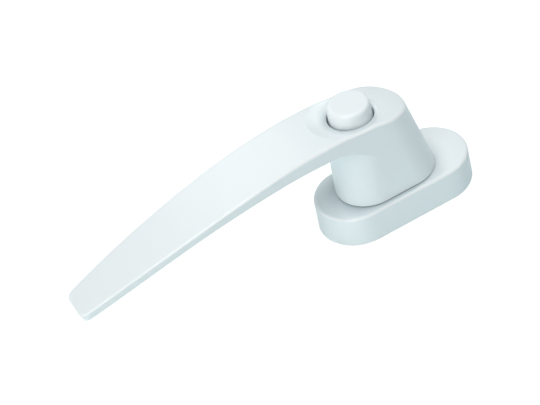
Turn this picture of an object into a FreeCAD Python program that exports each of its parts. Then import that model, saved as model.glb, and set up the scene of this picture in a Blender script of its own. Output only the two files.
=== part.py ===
import FreeCAD, Part
import math
import os
import re

import Sketcher

# Locking window handle, millimetres.
# X runs along the rosette with the lever towards -X, +Z points from the window into the room.
# The origin is the spindle axis in the back face of the rosette.

os.makedirs("parts", exist_ok=True)
doc = FreeCAD.newDocument("WindowHandle")
sheet = doc.addObject("Spreadsheet::Sheet", "Sizes")

SIZES = (
    # Rosette cover, a thin shell with rounded ends
    ("rosette_length", 66.9),
    ("rosette_width", 32.0),
    ("rosette_height", 13.5),
    ("rosette_taper", 1.0),
    ("rosette_edge_radius", 1.3),
    ("cover_wall", 1.8),
    ("cover_top", 2.0),
    # Base plate with the detent pocket
    ("base_height", 9.0),
    ("base_clearance", 0.1),
    ("recess_radius", 9.2),
    ("recess_depth", 2.4),
    ("floor_thickness", 2.0),
    ("fixing_spacing", 43.0),
    ("fixing_hole_radius", 2.65),
    ("fixing_head_radius", 5.2),
    ("fixing_seat_height", 4.0),
    ("pocket_half_length", 10.6),
    ("pocket_half_width", 10.5),
    ("pocket_corner_radius", 1.5),
    ("snap_offset", 12.0),
    ("snap_length", 6.0),
    ("snap_height", 3.0),
    ("snap_thickness", 1.2),
    ("snap_depth", 0.45),
    ("snap_clearance", 0.2),
    # Strike plate that takes the locking pin, and its four screws
    ("plate_length", 32.0),
    ("plate_width", 26.0),
    ("plate_thickness", 2.0),
    ("plate_corner_radius", 3.0),
    ("plate_screw_along", 13.2),
    ("plate_screw_across", 10.6),
    ("plate_screw_radius", 1.2),
    ("plate_screw_head", 2.2),
    ("plate_screw_length", 6.5),
    ("plate_bore_gap", 0.3),
    ("screw_clearance", 0.08),
    ("thread_runout", 0.5),
    ("screw_socket_share", 0.45),
    # Spindle carrier, its bearings and its retaining parts
    ("journal_radius", 6.0),
    ("journal_flat", 5.3),
    ("journal_start", 0.3),
    ("running_gap", 0.05),
    ("bush_wall", 1.2),
    ("bush_flange_radius", 8.6),
    ("bush_flange_thickness", 0.6),
    ("washer_radius", 8.5),
    ("washer_thickness", 0.4),
    ("clip_thickness", 0.8),
    ("clip_radius", 7.6),
    ("clip_mouth_half", 1.5),
    ("clip_lug_across", 2.6),
    ("clip_lug_inset", 0.9),
    ("clip_lug_radius", 1.3),
    ("clip_eye_radius", 0.6),
    ("groove_depth", 0.4),
    ("collar_radius", 7.0),
    ("ring_wall", 0.9),
    ("ring_flange_radius", 8.8),
    ("ring_play", 0.1),
    ("hub_gap", 0.5),
    ("carrier_flange_thickness", 1.4),
    ("carrier_flange_left", 6.9),
    ("carrier_flange_right", 13.5),
    ("carrier_flange_half", 7.4),
    ("carrier_flange_corner", 2.5),
    ("shank_radius", 6.2),
    ("shank_length", 12.6),
    ("shank_room", 0.3),
    ("socket_width", 7.1),
    ("socket_depth", 24.0),
    ("carrier_screw_along", 10.3),
    ("carrier_screw_across", 4.3),
    ("carrier_screw_radius", 1.25),
    ("carrier_screw_head", 2.6),
    ("carrier_screw_length", 8.0),
    # Detent cam and its two leaf springs
    ("cam_half_width", 7.2),
    ("cam_corner_radius", 1.5),
    ("cam_thickness", 3.55),
    ("leaf_thickness", 0.6),
    ("leaf_half_length", 14.8),
    ("leaf_height", 3.8),
    # Hub of the handle casting
    ("hub_half_width", 13.35),
    ("hub_foot_left", 23.5),
    ("hub_foot_right", 18.4),
    ("hub_left_draft", 1.7),
    ("hub_right_draft", 13.9),
    ("blank_height", 62.0),
    ("cut_margin", 2.0),
    ("neck_radius", 9.2),
    ("neck_top", 45.6),
    # Lever: plan outline, crowned back and belly
    ("lever_length", 135.5),
    ("lever_tip_height", 29.4),
    ("lever_tip_angle", 17.5),
    ("lever_tip_half_width", 7.45),
    ("lever_tip_corner", 3.4),
    ("lever_taper_start", 45.0),
    ("lever_edge_thickness", 3.95),
    ("lever_tip_thickness", 3.5),
    ("belly_crown", 3.2),
    ("belly_end_share", 0.2),
    ("belly_skew", 0.75),
    ("belly_fullness", 0.8),
    ("crest_along", 25.9),
    ("crest_height", 52.4),
    ("hub_crown_radius", 126.0),
    ("neck_crown_radius", 161.0),
    ("neck_crown_end", 50.0),
    ("middle_crown_radius", 346.0),
    ("middle_crown_end", 75.0),
    ("tip_crown_radius", 630.0),
    ("hub_rim_radius", 1.4),
    ("tip_rim_radius", 0.8),
    # Thumb scoop round the button
    ("scoop_along", 10.74),
    ("scoop_bottom", 49.0),
    ("scoop_radius_along", 50.0),
    ("scoop_radius_across", 34.3),
    ("scoop_rim_radius", 1.0),
    # Push button, locking pin and guide barrel
    ("lock_offset", 11.7),
    ("button_radius", 8.65),
    ("button_draft", 2.2),
    ("button_top", 56.1),
    ("button_edge_radius", 1.5),
    ("button_height", 10.9),
    ("button_travel", 5.0),
    ("button_hole_radius", 9.15),
    ("button_hole_rim", 0.5),
    ("cap_bore_radius", 6.8),
    ("cap_thickness", 2.5),
    ("cap_boss_radius", 3.4),
    ("cap_boss_length", 3.6),
    ("pin_radius", 2.5),
    ("pin_grip", 0.9),
    ("pin_tip_gap", 0.2),
    ("pin_tip_chamfer", 0.5),
    ("pin_hole_gap", 0.25),
    ("stop_gap", 0.4),
    ("barrel_flange_radius", 9.05),
    ("barrel_flange_thickness", 1.8),
    ("barrel_guide_radius", 6.7),
    ("barrel_radius", 7.0),
    ("barrel_sleeve_radius", 4.45),
    ("barrel_step", 30.0),
    ("barrel_foot", 22.0),
    ("chamber_radius", 5.0),
    ("chamber_floor", 31.0),
    ("guide_bush_height", 2.0),
    ("pin_clip_radius", 4.0),
    ("pin_clip_thickness", 0.75),
    ("pin_clip_groove", 0.6),
    ("pin_clip_mouth_half", 1.3),
    ("spring_mean_radius", 4.2),
    ("spring_wire_radius", 0.4),
    ("spring_quarters", 26),
    ("latch_wire_radius", 0.35),
    ("latch_offset", 3.05),
    ("latch_hook_height", 43.2),
    ("latch_anchor_depth", 2.8),
    ("track_half_width", 1.5),
    ("track_depth", 0.9),
    ("heart_half_width", 0.5),
    ("heart_tip", 1.3),
    ("heart_shoulder", 2.2),
    ("heart_notch", 3.2),
    ("heart_lobe", 3.6),
    ("fit_gap", 0.05),
)

for row, (alias, number) in enumerate(SIZES, start=1):
    sheet.set("A%d" % row, alias.replace("_", " "))
    sheet.set("B%d" % row, str(number))
    sheet.setAlias("B%d" % row, alias)
doc.recompute()

# Heights that follow from the sizes above, as formulas
FLOOR_TOP = "(recess_depth + floor_thickness)"
CAM_BOTTOM = "(recess_depth + floor_thickness + bush_flange_thickness + running_gap)"
CAM_TOP = "(recess_depth + floor_thickness + bush_flange_thickness + running_gap + cam_thickness)"
PLATE_TOP = "(base_height + plate_thickness)"
COVER_CEILING = "(rosette_height - cover_top)"
HUB_FOOT = "(rosette_height + hub_gap)"
FLANGE_TOP = "(rosette_height + hub_gap + carrier_flange_thickness)"
CAP_FOOT = "(button_top - button_height)"
CAP_CEILING = "(button_top - cap_thickness)"
BARREL_FLANGE_TOP = "(button_top - button_height - button_travel - stop_gap)"
BARREL_SEAT = "(button_top - button_height - button_travel - stop_gap - barrel_flange_thickness)"
GUIDE_TOP = "(button_top - cap_thickness - button_travel - stop_gap)"
PIN_TIP = "(base_height + pin_tip_gap + button_travel)"
CLIP_TOP = "(barrel_foot - fit_gap)"
NECK_FOOT = "(neck_top - neck_radius)"
GRIP_STATIONS = (0.95, 0.78, 0.6, 0.43)
HUB_LEFT_AT_NECK = "(hub_foot_left - (neck_top - neck_radius - rosette_height - hub_gap) * tan(hub_left_draft))"


def formula(text):
    """A size formula with the sheet's name before each size."""
    return re.sub(r"[a-z]+(?:_[a-z0-9]+)+", lambda match: "Sizes." + match.group(0), str(text))


def value(text):
    """The number that a size formula gives now."""
    result = sheet.evalExpression(formula(text))
    return float(getattr(result, "Value", result))


def bind(item, **formulas):
    """Tie properties of an object to size formulas; x, y and z mean its place."""
    for name, text in formulas.items():
        target = "Placement.Base." + name if name in ("x", "y", "z") else name
        item.setExpression(target, formula(text))
    return item


# Sketches: every corner, centre and radius is tied to the sheet

def new_body(label):
    body = doc.addObject("PartDesign::Body", label)
    body.Label = label
    return body


def new_sketch(body, plane="XY_Plane", lift="0", shift="0", rise="0"):
    """A sketch on one of the body's planes, lifted off it and shifted in it."""
    sketch = body.newObject("Sketcher::SketchObject", body.Label + "_sketch")
    support = next(item for item in body.Origin.OriginFeatures if item.Role == plane)
    sketch.AttachmentSupport = [(support, "")]
    sketch.MapMode = "FlatFace"
    sketch.setExpression("AttachmentOffset.Base.x", formula(shift))
    sketch.setExpression("AttachmentOffset.Base.y", formula(rise))
    sketch.setExpression("AttachmentOffset.Base.z", formula(lift))
    return sketch


def hold(sketch, kind, where, text):
    """Tie one measure of a sketch to a size formula."""
    number = sketch.addConstraint(Sketcher.Constraint(kind, *where, value(text)))
    name = "size%d" % number
    sketch.renameConstraint(number, name)
    sketch.setExpression("Constraints." + name, formula(text))


def hold_point(sketch, edge, end, x_text, y_text):
    hold(sketch, "DistanceX", (-1, 1, edge, end), x_text)
    hold(sketch, "DistanceY", (-1, 1, edge, end), y_text)


def add_circle(sketch, x_text, y_text, radius):
    centre = FreeCAD.Vector(value(x_text), value(y_text), 0)
    edge = sketch.addGeometry(Part.Circle(centre, FreeCAD.Vector(0, 0, 1), value(radius)))
    hold_point(sketch, edge, 3, x_text, y_text)
    hold(sketch, "Radius", (edge,), radius)
    return edge


def arc_between(start, end, radius, turn):
    """An arc under a half circle; turn is 1 anticlockwise and -1 clockwise."""
    chord = end - start
    middle = (start + end) * 0.5
    rise = math.sqrt(max(radius ** 2 - (chord.Length / 2) ** 2, 0.0))
    across = FreeCAD.Vector(-chord.y, chord.x, 0).normalize()
    centre = middle + across * rise * turn
    first, last = (start, end) if turn > 0 else (end, start)
    begin = math.atan2(first.y - centre.y, first.x - centre.x)
    finish = math.atan2(last.y - centre.y, last.x - centre.x)
    circle = Part.Circle(centre, FreeCAD.Vector(0, 0, 1), radius)
    return Part.ArcOfCircle(circle, begin, finish)


def add_outline(sketch, corners, arcs=None):
    """A closed outline. arcs gives a side's radius and turn; a third value holds its centre's x."""
    arcs = arcs or {}
    points = [FreeCAD.Vector(value(x), value(y), 0) for x, y in corners]
    count = len(points)
    ends = []
    for side, start in enumerate(points):
        end = points[(side + 1) % count]
        if side in arcs:
            edge = sketch.addGeometry(arc_between(start, end, value(arcs[side][0]), arcs[side][1]))
            ends.append((edge, 1, 2) if arcs[side][1] > 0 else (edge, 2, 1))
        else:
            edge = sketch.addGeometry(Part.LineSegment(start, end))
            ends.append((edge, 1, 2))
    for side, (edge, first, last) in enumerate(ends):
        following = ends[(side + 1) % count]
        sketch.addConstraint(Sketcher.Constraint("Coincident", edge, last, following[0], following[1]))
        hold_point(sketch, edge, first, *corners[side])
        if side in arcs and len(arcs[side]) > 2:
            hold(sketch, "DistanceX", (-1, 1, edge, 3), arcs[side][2])
        elif side in arcs:
            hold(sketch, "Radius", (edge,), arcs[side][0])
    return sketch


def add_obround(sketch, left, right, half_width):
    """A slot outline from x = left to x = right with round ends."""
    left_centre = "(%s + %s)" % (left, half_width)
    right_centre = "(%s - %s)" % (right, half_width)
    low = "-(%s)" % half_width
    corners = ((left_centre, low), (right_centre, low), (right_centre, half_width), (left_centre, half_width))
    arcs = {1: (half_width, 1, right_centre), 3: (half_width, 1, left_centre)}
    return add_outline(sketch, corners, arcs)


def add_rectangle(sketch, left, right, low, high):
    return add_outline(sketch, ((left, low), (right, low), (right, high), (left, high)))


def add_rounded_rectangle(sketch, left, right, half, corner):
    low = "-(%s)" % half
    inner_left = "(%s + %s)" % (left, corner)
    inner_right = "(%s - %s)" % (right, corner)
    inner_low = "(%s - (%s))" % (corner, half)
    inner_high = "((%s) - %s)" % (half, corner)
    corners = (
        (inner_left, low), (inner_right, low), (right, inner_low), (right, inner_high),
        (inner_right, half), (inner_left, half), (left, inner_high), (left, inner_low),
    )
    return add_outline(sketch, corners, {1: (corner, 1), 3: (corner, 1), 5: (corner, 1), 7: (corner, 1)})


# Features

def add_pad(body, sketch, length, taper=None):
    pad = body.newObject("PartDesign::Pad", body.Label + "_pad")
    pad.Profile = sketch
    bind(pad, Length=length)
    if taper:
        bind(pad, TaperAngle=taper)
    doc.recompute()
    return pad


def add_pocket(body, sketch, depth=None, upward=False, taper=None):
    """A pocket away from the sketch's normal, or along it when upward; no depth means right through."""
    before = body.Shape.Volume
    pocket = body.newObject("PartDesign::Pocket", body.Label + "_pocket")
    pocket.Profile = sketch
    pocket.Reversed = upward
    if depth:
        bind(pocket, Length=depth)
    else:
        pocket.Type = "ThroughAll"
    if taper:
        bind(pocket, TaperAngle=taper)
    doc.recompute()
    if not body.Shape.Volume < before - 1e-6:
        raise ValueError("a pocket in %s cuts nothing" % body.Label)
    return pocket


def add_revolution(body, sketch, axis="V_Axis"):
    turned = body.newObject("PartDesign::Revolution", body.Label + "_turned")
    turned.Profile = sketch
    turned.ReferenceAxis = (sketch, [axis])
    turned.Angle = 360
    doc.recompute()
    return turned


def turned_body(label, corners, arcs=None):
    """A piece turned about its own Z axis from half a section."""
    body = new_body(label)
    sketch = new_sketch(body, "XZ_Plane")
    add_outline(sketch, corners, arcs)
    add_revolution(body, sketch)
    return body


def add_edge_feature(body, kind, base, edges, radius):
    """A fillet or chamfer on the edges of base that the test picks."""
    doc.recompute()
    names = ["Edge%d" % (number + 1) for number, edge in enumerate(base.Shape.Edges) if edges(edge)]
    if not names:
        raise ValueError("no edge found in %s" % body.Label)
    feature = body.newObject("PartDesign::" + kind, body.Label + "_" + kind.lower())
    feature.Base = (base, names)
    bind(feature, **{"Size" if kind == "Chamfer" else "Radius": radius})
    doc.recompute()
    return feature


def flat_at(edge, height):
    box = edge.BoundBox
    return abs(box.ZMin - height) < 1e-4 and abs(box.ZMax - height) < 1e-4


def group(label, members):
    compound = doc.addObject("Part::Compound", label)
    compound.Links = members
    compound.Label = label
    return compound


def cut(label, base, tools):
    """A base with one tool or several tools taken out of it."""
    tool = tools[0]
    if len(tools) > 1:
        tool = doc.addObject("Part::MultiFuse", label + "_tools")
        tool.Shapes = tools
    result = doc.addObject("Part::Cut", label)
    result.Base = base
    result.Tool = tool
    result.Label = label
    return result


def cylinder(name, radius, height, **place):
    item = doc.addObject("Part::Cylinder", name)
    return bind(item, Radius=radius, Height=height, **place)


def cone(name, low_radius, high_radius, height, **place):
    item = doc.addObject("Part::Cone", name)
    return bind(item, Radius1=low_radius, Radius2=high_radius, Height=height, **place)


def box(name, length, width, height, **place):
    item = doc.addObject("Part::Box", name)
    return bind(item, Length=length, Width=width, Height=height, **place)


# Rosette: what stays fixed to the window

def make_rosette_cover():
    """Thin cover with a drafted wall, a rounded upper edge and four snap ridges inside."""
    body = new_body("rosette_cover")
    half_length = "(rosette_length / 2)"
    half_width = "(rosette_width / 2)"
    outer = new_sketch(body)
    add_obround(outer, "-" + half_length, half_length, half_width)
    shell = add_pad(body, outer, "rosette_height", "-rosette_taper")
    top = value("rosette_height")
    add_edge_feature(body, "Fillet", shell, lambda edge: flat_at(edge, top), "rosette_edge_radius")
    inner = new_sketch(body)
    inner_half = "(%s - cover_wall)" % half_width
    add_obround(inner, "(cover_wall - %s)" % half_length, "(%s - cover_wall)" % half_length, inner_half)
    add_pocket(body, inner, COVER_CEILING, upward=True, taper="-rosette_taper")
    holes = new_sketch(body)
    add_circle(holes, "0", "0", "(collar_radius + running_gap + ring_wall + fit_gap)")
    for side in ("lock_offset", "-lock_offset"):
        add_circle(holes, side, "0", "(pin_radius + pin_hole_gap)")
    add_pocket(body, holes, upward=True)
    ridge_root = "(%s - cover_wall / 2)" % half_width
    for along in ("snap_offset", "-snap_offset"):
        for across in (1, -1):
            ridge = new_sketch(body, lift="snap_height")
            near = "(%d * (%s - cover_wall - snap_depth))" % (across, half_width)
            far = "(%d * %s)" % (across, ridge_root)
            low, high = (near, far) if across > 0 else (far, near)
            start = "(%s - snap_length / 2)" % along
            add_rectangle(ridge, start, "(%s + snap_length / 2)" % along, low, high)
            add_pad(body, ridge, "snap_thickness")
    return body


def make_base_plate():
    """Die-cast base: fixing holes, detent pocket, leaf slots, bearing bore and circlip recess."""
    body = new_body("base_plate")
    narrowing = "(cover_wall + base_height * tan(rosette_taper) + base_clearance)"
    half_length = "(rosette_length / 2 - %s)" % narrowing
    half_width = "(rosette_width / 2 - %s)" % narrowing
    outline = new_sketch(body)
    add_obround(outline, "-" + half_length, half_length, half_width)
    add_pad(body, outline, "base_height")
    pocket = new_sketch(body, lift="base_height")
    add_rounded_rectangle(
        pocket, "-pocket_half_length", "pocket_half_length", "pocket_half_width", "pocket_corner_radius")
    add_pocket(body, pocket, "(base_height - %s)" % FLOOR_TOP)
    slots = new_sketch(body, lift="base_height")
    inner = "(cam_half_width)"
    outer = "(cam_half_width + leaf_thickness + 2 * running_gap)"
    reach = "(leaf_half_length + running_gap)"
    add_rectangle(slots, "-" + reach, reach, inner, outer)
    add_rectangle(slots, "-" + reach, reach, "-" + outer, "-" + inner)
    add_pocket(body, slots, "(base_height - %s)" % CAM_BOTTOM)
    bore = new_sketch(body)
    add_circle(bore, "0", "0", "(journal_radius + running_gap + bush_wall + fit_gap)")
    add_pocket(body, bore, upward=True)
    recess = new_sketch(body)
    add_circle(recess, "0", "0", "recess_radius")
    add_pocket(body, recess, "recess_depth", upward=True)
    fixing = new_sketch(body)
    heads = new_sketch(body, lift="base_height")
    for side in ("(fixing_spacing / 2)", "(-fixing_spacing / 2)"):
        add_circle(fixing, side, "0", "fixing_hole_radius")
        add_circle(heads, side, "0", "fixing_head_radius")
    add_pocket(body, fixing, upward=True)
    add_pocket(body, heads, "(base_height - fixing_seat_height)")
    threads = new_sketch(body, lift="base_height")
    for along in ("plate_screw_along", "-plate_screw_along"):
        for across in ("plate_screw_across", "-plate_screw_across"):
            add_circle(threads, along, across, "(plate_screw_radius + screw_clearance)")
    add_pocket(body, threads, "(plate_screw_length - plate_thickness + thread_runout)")
    notches = new_sketch(body, lift="(snap_height + snap_thickness + snap_clearance)")
    depth_line = "(rosette_width / 2 - cover_wall - snap_depth - snap_clearance)"
    beyond = "(rosette_width / 2)"
    for along in ("snap_offset", "-snap_offset"):
        start = "(%s - snap_length / 2 - snap_clearance)" % along
        stop = "(%s + snap_length / 2 + snap_clearance)" % along
        add_rectangle(notches, start, stop, depth_line, beyond)
        add_rectangle(notches, start, stop, "-" + beyond, "-" + depth_line)
    add_pocket(body, notches, "(snap_thickness + 2 * snap_clearance)")
    return body


def make_strike_plate():
    """Steel plate over the detent pocket; the locking pin drops into one of its two small holes."""
    body = new_body("strike_plate")
    outline = new_sketch(body, lift="base_height")
    half_length = "(plate_length / 2)"
    add_rounded_rectangle(outline, "-" + half_length, half_length, "(plate_width / 2)", "plate_corner_radius")
    add_pad(body, outline, "plate_thickness")
    holes = new_sketch(body, lift=PLATE_TOP)
    add_circle(holes, "0", "0", "(collar_radius + plate_bore_gap)")
    for side in ("lock_offset", "-lock_offset"):
        add_circle(holes, side, "0", "(pin_radius + pin_hole_gap)")
        for across in ("plate_screw_across", "-plate_screw_across"):
            along = side.replace("lock_offset", "plate_screw_along")
            add_circle(holes, along, across, "(plate_screw_radius + screw_clearance)")
    drilled = add_pocket(body, holes)
    top = value(PLATE_TOP)
    screw_hole = value("plate_screw_radius + screw_clearance")

    def is_screw_hole(edge):
        return flat_at(edge, top) and len(edge.Vertexes) == 1 and edge.BoundBox.XLength < 2 * screw_hole + 0.01

    add_edge_feature(body, "Chamfer", drilled, is_screw_hole, "(plate_screw_head - plate_screw_radius)")
    return body


def countersunk_screw(name, x, y, seat, shaft, head, length, upward):
    """A countersunk screw with a hexagon socket; its flat head lies at the seat height."""
    rim = "(%s - %s)" % (head, shaft)
    if upward:
        tip = cylinder(name + "_shaft", shaft, length, x=x, y=y, z=seat)
        top = cone(name + "_head", head, shaft, rim, x=x, y=y, z=seat)
        socket_z = seat
    else:
        tip = cylinder(name + "_shaft", shaft, length, x=x, y=y, z="(%s - %s)" % (seat, length))
        top = cone(name + "_head", shaft, head, rim, x=x, y=y, z="(%s - %s)" % (seat, rim))
        socket_z = "(%s - %s)" % (seat, rim)
    solid = doc.addObject("Part::MultiFuse", name + "_solid")
    solid.Shapes = [tip, top]
    socket = doc.addObject("Part::Prism", name + "_socket")
    bind(socket, Circumradius="(screw_socket_share * %s)" % head, Height=rim, x=x, y=y, z=socket_z)
    return cut(name, solid, [socket])


def make_strike_plate_screws():
    screws = []
    for along in ("plate_screw_along", "(-plate_screw_along)"):
        for across in ("plate_screw_across", "(-plate_screw_across)"):
            name = "plate_screw_%d" % (len(screws) + 1)
            screws.append(countersunk_screw(
                name, along, across, PLATE_TOP, "plate_screw_radius", "plate_screw_head",
                "plate_screw_length", upward=False))
    return group("strike_plate_screws", screws)


def make_slide_ring():
    """Flanged plastic ring in the cover's hole; the handle turns on it."""
    inner = "(collar_radius + running_gap)"
    outer = "(collar_radius + running_gap + ring_wall)"
    foot = "(%s + running_gap)" % PLATE_TOP
    flange_top = "(%s - ring_play)" % HUB_FOOT
    return turned_body("slide_ring", (
        (inner, foot), (outer, foot), (outer, "rosette_height"),
        ("ring_flange_radius", "rosette_height"), ("ring_flange_radius", flange_top), (inner, flange_top)))


def make_bearing_bush():
    """Flanged plain bearing in the floor of the base plate."""
    inner = "(journal_radius + running_gap)"
    outer = "(journal_radius + running_gap + bush_wall)"
    top = "(%s + bush_flange_thickness)" % FLOOR_TOP
    return turned_body("bearing_bush", (
        (inner, "recess_depth"), (outer, "recess_depth"), (outer, FLOOR_TOP),
        ("bush_flange_radius", FLOOR_TOP), ("bush_flange_radius", top), (inner, top)))


def make_detent_springs():
    """Two flat leaves that bear on opposite flats of the cam."""
    length = "(2 * leaf_half_length)"
    near = "(cam_half_width + running_gap)"
    far = "(-cam_half_width - running_gap - leaf_thickness)"
    leaves = [
        box("leaf_spring_1", length, "leaf_thickness", "leaf_height", x="-leaf_half_length", y=near, z=CAM_BOTTOM),
        box("leaf_spring_2", length, "leaf_thickness", "leaf_height", x="-leaf_half_length", y=far, z=CAM_BOTTOM),
    ]
    return group("detent_springs", leaves)


# Handle: what turns on the spindle axis

def make_spindle_carrier():
    """Turned journal with a square spindle socket, a screwed flange and a shank in the hub."""
    clip_foot = "(recess_depth - running_gap - washer_thickness - clip_thickness - 2 * running_gap)"
    clip_top = "(recess_depth - running_gap - washer_thickness)"
    groove = "(journal_radius - groove_depth)"
    shoulder = "(%s + running_gap)" % CAM_TOP
    shank_top = "(%s + shank_length)" % FLANGE_TOP
    body = turned_body("spindle_carrier", (
        ("0", "journal_start"), ("journal_radius", "journal_start"), ("journal_radius", clip_foot),
        (groove, clip_foot), (groove, clip_top), ("journal_radius", clip_top),
        ("journal_radius", shoulder), ("collar_radius", shoulder), ("collar_radius", HUB_FOOT),
        ("shank_radius", HUB_FOOT), ("shank_radius", shank_top), ("0", shank_top)))
    flange = new_sketch(body, lift=HUB_FOOT)
    add_rounded_rectangle(
        flange, "-carrier_flange_left", "carrier_flange_right", "carrier_flange_half", "carrier_flange_corner")
    add_pad(body, flange, "carrier_flange_thickness")
    flats = new_sketch(body)
    wide = "(journal_radius + cut_margin)"
    add_rectangle(flats, "-" + wide, wide, "journal_flat", wide)
    add_rectangle(flats, "-" + wide, wide, "-" + wide, "-journal_flat")
    add_pocket(body, flats, shoulder, upward=True)
    socket = new_sketch(body)
    half = "(socket_width / 2)"
    add_rectangle(socket, "-" + half, half, "-" + half, half)
    add_pocket(body, socket, "socket_depth", upward=True)
    screws = new_sketch(body, lift=HUB_FOOT)
    for across in ("carrier_screw_across", "-carrier_screw_across"):
        add_circle(screws, "carrier_screw_along", across, "(carrier_screw_radius + screw_clearance)")
    drilled = add_pocket(body, screws, upward=True)
    foot = value(HUB_FOOT)
    far = value("carrier_screw_along - carrier_screw_head")

    def is_screw_hole(edge):
        small = edge.BoundBox.XLength < value("2 * carrier_screw_head")
        return flat_at(edge, foot) and edge.BoundBox.XMin > far and small and len(edge.Vertexes) == 1

    add_edge_feature(body, "Chamfer", drilled, is_screw_hole, "(carrier_screw_head - carrier_screw_radius)")
    return body


def make_carrier_screws():
    screws = []
    for across in ("carrier_screw_across", "(-carrier_screw_across)"):
        name = "carrier_screw_%d" % (len(screws) + 1)
        screws.append(countersunk_screw(
            name, "carrier_screw_along", across, HUB_FOOT, "carrier_screw_radius", "carrier_screw_head",
            "carrier_screw_length", upward=True))
    return group("carrier_screws", screws)


def make_detent_cam():
    """Square cam on the flats of the journal; it clicks at each quarter turn."""
    body = new_body("detent_cam")
    outline = new_sketch(body, lift=CAM_BOTTOM)
    add_rounded_rectangle(outline, "-cam_half_width", "cam_half_width", "cam_half_width", "cam_corner_radius")
    add_pad(body, outline, "cam_thickness")
    hole = new_sketch(body, lift=CAM_TOP)
    radius = "(journal_radius + fit_gap)"
    flat = "(journal_flat + fit_gap)"
    half = "(sqrt((journal_radius + fit_gap)^2 - (journal_flat + fit_gap)^2))"
    corners = (("-" + half, "-" + flat), (half, "-" + flat), (half, flat), ("-" + half, flat))
    add_outline(hole, corners, {1: (radius, 1), 3: (radius, 1)})
    add_pocket(body, hole)
    return body


def make_thrust_washer():
    foot = "(recess_depth - running_gap - washer_thickness)"
    top = "(recess_depth - running_gap)"
    inner = "(journal_radius + fit_gap)"
    return turned_body("thrust_washer", (
        (inner, foot), ("washer_radius", foot), ("washer_radius", top), (inner, top)))


def make_circlip():
    """Open retaining ring with two eyelets."""
    body = new_body("circlip")
    foot = "(recess_depth - 2 * running_gap - washer_thickness - clip_thickness)"
    ring = new_sketch(body, lift=foot)
    add_circle(ring, "0", "0", "clip_radius")
    add_circle(ring, "0", "0", "(journal_radius - groove_depth + fit_gap)")
    add_pad(body, ring, "clip_thickness")
    mouth = new_sketch(body, lift=foot)
    add_rectangle(mouth, "0", "recess_radius", "-clip_mouth_half", "clip_mouth_half")
    add_pocket(body, mouth, upward=True)
    lugs = new_sketch(body, lift=foot)
    for side in ("clip_lug_across", "-clip_lug_across"):
        add_circle(lugs, "(clip_radius - clip_lug_inset)", side, "clip_lug_radius")
    add_pad(body, lugs, "clip_thickness")
    eyes = new_sketch(body, lift=foot)
    for side in ("clip_lug_across", "-clip_lug_across"):
        add_circle(eyes, "(clip_radius - clip_lug_inset)", side, "clip_eye_radius")
    add_pocket(body, eyes, upward=True)
    return body


# Handle casting: hub, lever, neck fillet and thumb scoop

def crown_height(x):
    """Height of the lever's back at x, four arcs that meet without a corner."""
    crest_x = -value("crest_along")
    crest_z = value("crest_height")
    if x >= crest_x:
        radius = value("hub_crown_radius")
        return crest_z - radius + math.sqrt(radius ** 2 - (x - crest_x) ** 2)
    pieces = (
        (value("neck_crown_radius"), -value("neck_crown_end")),
        (value("middle_crown_radius"), -value("middle_crown_end")),
        (value("tip_crown_radius"), -math.inf),
    )
    centre_x = crest_x
    centre_z = crest_z - pieces[0][0]
    for (radius, end), following in zip(pieces, pieces[1:] + (None,)):
        if x >= end:
            break
        joint_z = centre_z + math.sqrt(radius ** 2 - (end - centre_x) ** 2)
        scale = following[0] / radius
        centre_x = end + (centre_x - end) * scale
        centre_z = joint_z + (centre_z - joint_z) * scale
    return centre_z + math.sqrt(radius ** 2 - (x - centre_x) ** 2)


def lever_half_width(x):
    """Half the lever's width at x: parallel beside the hub, then an arc to the narrower tip."""
    start = -value("lever_taper_start")
    full = value("hub_half_width")
    if x >= start:
        return full
    run = value("lever_length") + start
    drop = full - value("lever_tip_half_width")
    radius = (run ** 2 + drop ** 2) / (2 * drop)
    return full - radius + math.sqrt(radius ** 2 - (start - x) ** 2)


def edge_height(x):
    """Height of the lower edge of the lever's side wall; the wall deepens towards the neck."""
    begin = -value("middle_crown_end")
    finish = -(value("hub_foot_left") + value("neck_radius"))
    if x >= finish:
        return value("neck_top")
    middle = value("lever_edge_thickness")
    if x < begin:
        share = min((begin - x) / (value("lever_length") + begin), 1.0)
        return crown_height(x) - middle + (middle - value("lever_tip_thickness")) * share
    thick = crown_height(finish) - value("neck_top")
    return crown_height(x) - middle - (thick - middle) * (x - begin) / (finish - begin)


def belly_drop(x):
    """How far the belly hangs below the side walls: full along the grip, less at both ends."""
    crown = value("belly_crown")
    tip = -value("lever_length")
    neck = -(value("hub_foot_left") + value("neck_radius"))
    share = min(max((x - tip) / (neck - tip), 0.0), 1.0)
    end_share = value("belly_end_share")
    swell = math.sin(math.pi * share ** value("belly_skew")) ** value("belly_fullness")
    return crown * (end_share + (1 - end_share) * swell)


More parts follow.
